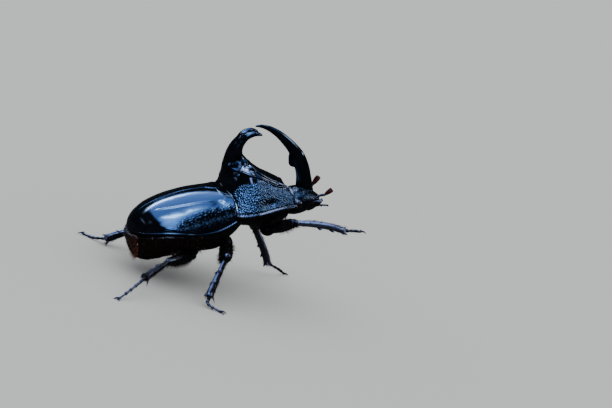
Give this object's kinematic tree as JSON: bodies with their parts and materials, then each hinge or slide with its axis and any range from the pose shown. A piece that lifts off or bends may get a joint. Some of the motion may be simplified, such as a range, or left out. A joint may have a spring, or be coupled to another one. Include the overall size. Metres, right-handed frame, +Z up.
{
  "type": "rhinoceros beetle",
  "caption": "Life-size still model of a male rhinoceros beetle in mid stride, with a long curved head horn, a forked horn on the pronotum and glossy black wing cases",
  "frame": {"origin": "on the floor under the middle of the beetle's outline seen from above", "axes": "+X forward to the head, +Y to the beetle's left, +Z up from the floor"},
  "size_m": [0.0652, 0.0526, 0.0431],
  "materials": {
    "jet_shell": "near-black polished chitin with a cold, mirror-like gloss",
    "dark_shell": "near-black chitin of the underside, satin and finely pitted",
    "brown_shell": "pitch-brown chitin, satin",
    "red_brown_shell": "dark red-brown chitin, satin",
    "leg_shell": "near-black chitin of the legs, glossy with pits",
    "eye": "polished dark brown, finely faceted"
  },
  "bodies": {
    "root": {"abdomen": "brown_shell", "antenna_left": "red_brown_shell", "antenna_right": "red_brown_shell", "coxa_fore_left": "leg_shell", "coxa_fore_right": "leg_shell", "coxa_hind_left": "leg_shell", "coxa_hind_right": "leg_shell", "coxa_mid_left": "leg_shell", "coxa_mid_right": "leg_shell", "elytron_left": "jet_shell", "elytron_right": "jet_shell", "eye_left": "eye", "eye_right": "eye", "femur_fore_left": "leg_shell", "femur_fore_right": "leg_shell", "femur_hind_left": "leg_shell", "femur_hind_right": "leg_shell", "femur_mid_left": "leg_shell", "femur_mid_right": "leg_shell", "head": "jet_shell", "head_horn": "jet_shell", "mandible_left": "dark_shell", "mandible_right": "dark_shell", "mesosternum": "dark_shell", "metathorax": "dark_shell", "mouthparts": "brown_shell", "pronotum": "jet_shell", "pronotum_horn": "jet_shell", "prosternum": "dark_shell", "pygidium": "red_brown_shell", "scutellum": "jet_shell", "tarsus_fore_left": "leg_shell", "tarsus_fore_right": "leg_shell", "tarsus_hind_left": "leg_shell", "tarsus_hind_right": "leg_shell", "tarsus_mid_left": "leg_shell", "tarsus_mid_right": "leg_shell", "tibia_fore_left": "leg_shell", "tibia_fore_right": "leg_shell", "tibia_hind_left": "leg_shell", "tibia_hind_right": "leg_shell", "tibia_mid_left": "leg_shell", "tibia_mid_right": "leg_shell"}
  },
  "joints": []
}
